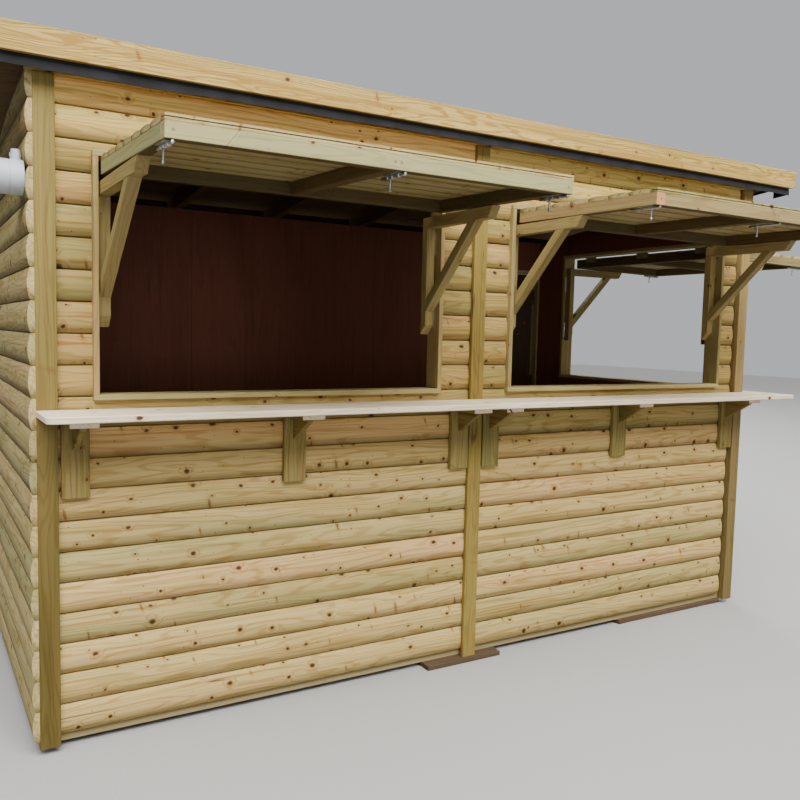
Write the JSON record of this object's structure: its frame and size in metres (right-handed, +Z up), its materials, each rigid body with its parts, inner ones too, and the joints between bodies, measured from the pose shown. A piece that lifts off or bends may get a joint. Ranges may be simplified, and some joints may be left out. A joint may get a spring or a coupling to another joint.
{
  "type": "wooden market stall",
  "caption": "Timber kiosk-type market stall clad in log-lap boards, with propped serving hatches, a shelf counter on brackets and a felted roof sloping to the back.",
  "frame": {"origin": "centre of the walls' footprint on the ground, under the floor's centre packer", "axes": "+X along the front wall to the right as seen from the front, +Y from the front to the back, +Z up"},
  "size_m": [4.8938, 2.7434, 2.5081],
  "materials": {
    "boards": "matt stained softwood boards",
    "trim_timber": "planed stained softwood",
    "roof_boards": "planed softwood boards",
    "hatch_timber": "planed pale softwood",
    "fascia_timber": "planed warm softwood",
    "counter_timber": "planed bare softwood",
    "lining": "dark stained sheet",
    "felt": "mineral bitumen felt",
    "zinc": "bright zinc",
    "white_plastic": "matt white"
  },
  "bodies": {
    "root": {"front_cladding_left": "boards", "front_cladding_right": "boards", "right_cladding": "boards", "left_cladding": "boards", "back_cladding": "boards", "hatch_boards_left": "boards", "hatch_boards_right": "boards", "hatch_boards_side": "boards", "back_door": "boards", "packers": "trim_timber", "floor_frame": "trim_timber", "wall_framing": "trim_timber", "front_left_trim": "trim_timber", "front_right_trim": "trim_timber", "mid_cover_strip": "trim_timber", "back_corner_trims": "trim_timber", "opening_liner_left": "trim_timber", "opening_liner_right": "trim_timber", "opening_liner_side": "trim_timber", "door_liner": "trim_timber", "door_trims": "trim_timber", "roof_joists": "trim_timber", "eave_batten": "trim_timber", "counter_brackets": "trim_timber", "roof_boards": "roof_boards", "hatch_frame_left": "hatch_timber", "hatch_frame_right": "hatch_timber", "hatch_frame_side": "hatch_timber", "gallows_bracket_1": "hatch_timber", "gallows_bracket_2": "hatch_timber", "gallows_bracket_3": "hatch_timber", "gallows_bracket_4": "hatch_timber", "gallows_bracket_5": "hatch_timber", "gallows_bracket_6": "hatch_timber", "front_fascia": "fascia_timber", "back_fascia": "fascia_timber", "counter_plank_left": "counter_timber", "counter_plank_right": "counter_timber", "side_shelf": "counter_timber", "front_lining": "lining", "right_lining": "lining", "left_lining": "lining", "back_lining": "lining", "floor_deck": "lining", "roof_felt": "felt", "butt_hinges": "zinc", "door_hinges": "zinc", "power_inlet": "white_plastic"}
  },
  "joints": []
}
